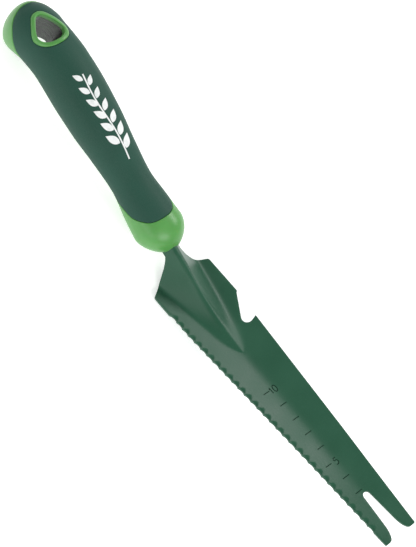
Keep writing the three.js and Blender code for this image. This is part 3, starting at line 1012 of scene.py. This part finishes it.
def add_shell(skin, edge_outward, hole_grow):
    """The core's bare skin; gives its rings round the grip, the underside hole, nose and butt."""
    loop = shell_pattern()
    hole = hang_pattern(hole_grow, -1)
    grid = pattern_grid(0, 2 * math.pi, 1.3)
    inner = set(in_grip(grid))
    turn = 2 * math.pi * AROUND
    mirrored = set(in_grip([(x, turn - y) for x, y in grid]))
    grid = [(x, y) for x, y in grid if (x, y) not in inner and (x, turn - y) not in mirrored]
    flat, faces, rings = triangulate([loop], [hole], grid, clearance=0.7)
    points = [off_surface(p.x, p.y) for p in flat]
    count = len(NEAR_SIDE)
    near_start = SHELL_LEAD - 1  # one point ahead of the grip's front
    far_start = loop.index((NEAR_SIDE[-1][0], turn))
    near = rings[0][near_start:near_start + count]
    far = rings[0][far_start:far_start + count]
    for ring, side in ((near, 0), (far, 1)):
        for k, i in enumerate(ring):
            place = k if side == 0 else (count - 1 + k) % len(GRIP_LOOP)
            x, y = GRIP_LOOP[place]
            points[i] = off_surface(x, y, 0.0, edge_outward, EDGE_OUT[place])
    for i, point in zip(rings[1], hang_ring(hole_grow, 0.0, -1)):
        points[i] = point
    made = skin.add(points)
    skin.faces += [tuple(made[i] for i in f) for f in faces]
    nose = [made[i] for i in rings[0] if flat[i].x < 0.001]
    butt = [made[i] for i in rings[0] if flat[i].x > LENGTHS[-1] - 0.001]
    grip = [made[i] for i in near + far[1:-1]]
    return grip, [made[i] for i in rings[1]], nose, butt


def make_core(material):
    skin = Skin()
    grip, under_hole, nose, butt = add_shell(skin, 0.5, SLEEVE_WALL + 0.85)
    for ring in (nose, butt):
        skin.fan(ring)
    bed, bed_hole = add_grip_face(skin, BED_DEPTH, 0.0, LIP_WIDTH, 2.0)
    ring = add_edge(skin, grip, [(0.22, 0.05), (0.06, 0.2), (0.0, 0.45)])
    skin.bridge(ring, bed)
    ring = bed_hole
    lip = [(LIP_WIDTH, 0.15), (2.3, -0.22), (2.0, -0.48), (1.55, -0.62), (1.05, -0.64), (0.6, -0.5),
           (0.25, -0.22), (0.05, 0.2), (0.0, 0.7), (0.0, LIP_DEPTH)]
    seat = SLEEVE_WALL + 0.25
    for grow, depth in lip + [(seat, LIP_DEPTH)]:
        following = skin.add(hang_ring(grow, depth))
        skin.bridge(ring, following)
        ring = following
    for grow, depth in ((seat, 0.5), (seat + 0.15, 0.12)):
        following = skin.add(hang_ring(grow, depth, -1))
        skin.bridge(ring, following)
        ring = following
    skin.bridge(ring, under_hole)
    core = piece("core_moulding", skin, material, "handle_core")
    cut_tang_socket(core)


def tang_socket():
    """The tang and neck grown by the fit's clearance."""
    skin = Skin()
    gap = 0.3
    rows = spread(TANG_END - gap, 6, 60)
    sides = []
    for height in (THICKNESS / 2 + gap, -THICKNESS / 2 - gap):
        grid = []
        for x in rows:
            half = TANG_HALF + (NECK_HALF - TANG_HALF) * clamp((x - TANG_END) / (1 - TANG_END)) + gap
            grid.append(skin.add([blade_point(x, y, height, False) for y in spread(-half, half, 24)]))
        sides.append(grid)
    for grid in sides:
        for row, after in zip(grid, grid[1:]):
            for i in range(len(row) - 1):
                skin.faces.append((row[i], after[i], after[i + 1], row[i + 1]))
    top, low = sides
    rim = [row[0] for row in top] + top[-1][1:] + [row[-1] for row in top[-2::-1]] + top[0][-2:0:-1]
    low_rim = [row[0] for row in low] + low[-1][1:] + [row[-1] for row in low[-2::-1]] + low[0][-2:0:-1]
    skin.bridge(rim, low_rim)
    return skin


def cut_tang_socket(core):
    skin = tang_socket()
    mesh = bpy.data.meshes.new("socket")
    body = bmesh.new()
    made = [body.verts.new(TOOL_TO_PART @ p) for p in skin.points]
    for face in skin.faces:
        body.faces.new([made[i] for i in face])
    bmesh.ops.recalc_face_normals(body, faces=body.faces)
    body.to_mesh(mesh)
    body.free()
    cutter = bpy.data.objects.new("socket", mesh)
    bpy.context.scene.collection.objects.link(cutter)
    cut = core.modifiers.new("socket", "BOOLEAN")
    cut.operation = "DIFFERENCE"
    cut.solver = "EXACT"
    cut.use_self = True
    cut.object = cutter
    bpy.context.view_layer.update()
    shaped = bpy.data.meshes.new_from_object(core.evaluated_get(bpy.context.evaluated_depsgraph_get()))
    core.modifiers.clear()
    core.data = shaped
    shaped.shade_smooth()
    shaped.set_sharp_from_angle(angle=math.radians(40))
    bpy.data.objects.remove(cutter)


def make_sleeve(material):
    """The grey sleeve that lines the hang hole under its lip."""
    skin = Skin()
    inner, outer, top, foot = 0.05, SLEEVE_WALL, LIP_DEPTH + 0.15, 0.25
    middle = 9.0
    profile = [
        (inner, top + 0.25, 1), (inner, middle, 1), (inner, middle, -1), (inner, foot + 0.2, -1),
        (inner + 0.15, foot, -1), (outer - 0.15, foot, -1), (outer, foot + 0.2, -1),
        (outer, middle, -1), (outer, middle, 1), (outer, top, 1), (inner + 0.25, top, 1),
    ]  # growth of the hole, depth, and 1 from the top or -1 from the underside
    rings = [skin.add(hang_ring(grow, depth, side)) for grow, depth, side in profile]
    for ring, following in zip(rings, rings[1:] + rings[:1]):
        skin.bridge(ring, following)
    piece("hole_sleeve", skin, material, "hang_sleeve")


# ---------------------------------------------------------------- printed sprig
STEM_HALF = 0.42
LEAF_LENGTH = 8.6
LEAF_WIDTH = 4.1
LEAF_PAIRS = 6


def leaf(a, y, heading, length, width):
    """A pointed leaf as a closed loop on the print's plane."""
    angle = math.radians(heading)
    along = (math.cos(angle), math.sin(angle))
    across = (-along[1], along[0])
    upper = [(t, math.sin(math.pi * t ** 0.8) * width / 2) for t in spread(0, 1, 14)]
    loop = upper + [(t, -w) for t, w in upper[-2:0:-1]]
    return [(a + along[0] * t * length + across[0] * w, y + along[1] * t * length + across[1] * w)
            for t, w in loop]


def sprig():
    """A plain leafy stem running along the grip."""
    start, end = 54.0, 104.0
    middle, sway = 0.6, 0.9
    stem = []
    for a in spread(start, end, 60):
        stem.append((a, middle + sway * math.sin((a - start) / (end - start) * 2 * math.pi)))
    loops = [shifted(stem, STEM_HALF, False)[::-1] + shifted(stem, -STEM_HALF, False)]
    for i in range(LEAF_PAIRS):
        a, y = stem[6 + 9 * i]
        size = 1 - 0.06 * i
        loops.append(leaf(a + 0.7, y + 0.9, 38, LEAF_LENGTH * size, LEAF_WIDTH * size))
        loops.append(leaf(a + 4.6, y - 0.9, -38, LEAF_LENGTH * size, LEAF_WIDTH * size))
    return loops


def steps_between(values, step):
    """Even steps from the smallest value to the largest."""
    low, high = min(values), max(values)
    return spread(low, high, max(2, round((high - low) / step)))


def make_print(material):
    skin = Skin()
    for loop in sprig():
        loop = dense(loop, 0.7)
        columns, rows = [steps_between([p[k] for p in loop], 0.9) for k in (0, 1)]
        grid = [(x, y) for x in columns for y in rows]
        flat, faces, _ = triangulate([loop], [], grid, clearance=0.4)
        used = sorted({i for f in faces for i in f})

        def plate(lift):
            points = [handle_to_tool(flat[i].x, top_height(*flat[i]) + lift, flat[i].y) for i in used]
            return dict(zip(used, skin.add(points)))

        close_plate(skin, [tuple(f) for f in faces], plate(0.06), plate(-0.05))
    piece("sprig_print", skin, material, None, 50, 0.001)


# ---------------------------------------------------------------- stage, light and camera
def set_camera():
    cos_tip, sin_tip = math.cos(TIP_TOWARD_CAMERA), math.sin(TIP_TOWARD_CAMERA)
    cos_head, sin_head = math.cos(BLADE_HEADING), math.sin(BLADE_HEADING)
    blade_x = Vector((cos_tip * cos_head, cos_tip * sin_head, -sin_tip))
    facing = Vector((-sin_tip * cos_head, -sin_tip * sin_head, -cos_tip))
    sideways = Vector((sin_head, -cos_head, 0))
    blade_z = math.cos(SAW_SIDE_TURN) * facing + math.sin(SAW_SIDE_TURN) * sideways
    blade_y = blade_z.cross(blade_x)
    view = Matrix((blade_x, blade_y, blade_z)).transposed()  # tool frame to right, down, away
    right, down, away = view
    place = -(view.transposed() @ BLADE_START_IN_VIEW)
    lens = bpy.data.cameras.new("camera")
    lens.sensor_fit = "HORIZONTAL"
    lens.sensor_width = SENSOR_WIDTH
    lens.lens = LENS
    camera = bpy.data.objects.new("camera", lens)
    axes = Matrix((right, -down, -away)).transposed()
    turn = Matrix.Rotation(-REST_PITCH, 3, "Y") @ axes
    camera.matrix_world = Matrix.Translation(TOOL_TO_PART @ place) @ turn.to_4x4()
    bpy.context.scene.collection.objects.link(camera)
    bpy.context.scene.camera = camera


def softbox(name, place, size, power):
    light = bpy.data.lights.new(name, "AREA")
    light.shape = "RECTANGLE"
    light.size, light.size_y = size
    light.energy = power
    made = bpy.data.objects.new(name, light)
    made.location = place
    made.rotation_euler = (LIGHT_TARGET - Vector(place)).to_track_quat("-Z", "Y").to_euler()
    bpy.context.scene.collection.objects.link(made)


def set_stage():
    mesh = bpy.data.meshes.new("floor")
    near, far = -FLOOR_REACH, FLOOR_REACH
    corners = [(near, near, 0), (far, near, 0), (far, far, 0), (near, far, 0)]
    mesh.from_pydata(corners, [], [(0, 1, 2, 3)])
    mesh.materials.append(pale_floor())
    floor = bpy.data.objects.new("floor", mesh)
    bpy.context.scene.collection.objects.link(floor)

    world = bpy.data.worlds.new("studio")
    world.use_nodes = True
    background = world.node_tree.nodes["Background"]
    background.inputs["Color"].default_value = (1.0, 1.0, 1.0, 1.0)
    background.inputs["Strength"].default_value = 0.34
    bpy.context.scene.world = world
    softbox("far softbox", (-0.23, 0.87, 0.7), (1.3, 0.36), 8.6)
    softbox("fill softbox", (0.9, -0.3, 0.8), (0.9, 0.7), 8)
    softbox("near softbox", (-0.1, -0.95, 0.4), (1.4, 0.5), 4)
    bpy.context.scene.view_settings.view_transform = "Standard"


make_blade(powder_coat(), dark_stamp_floors())
make_core(green_plastic())
make_grip(soft_rubber())
make_print(white_ink())
make_sleeve(dull_steel())
set_stage()
set_camera()
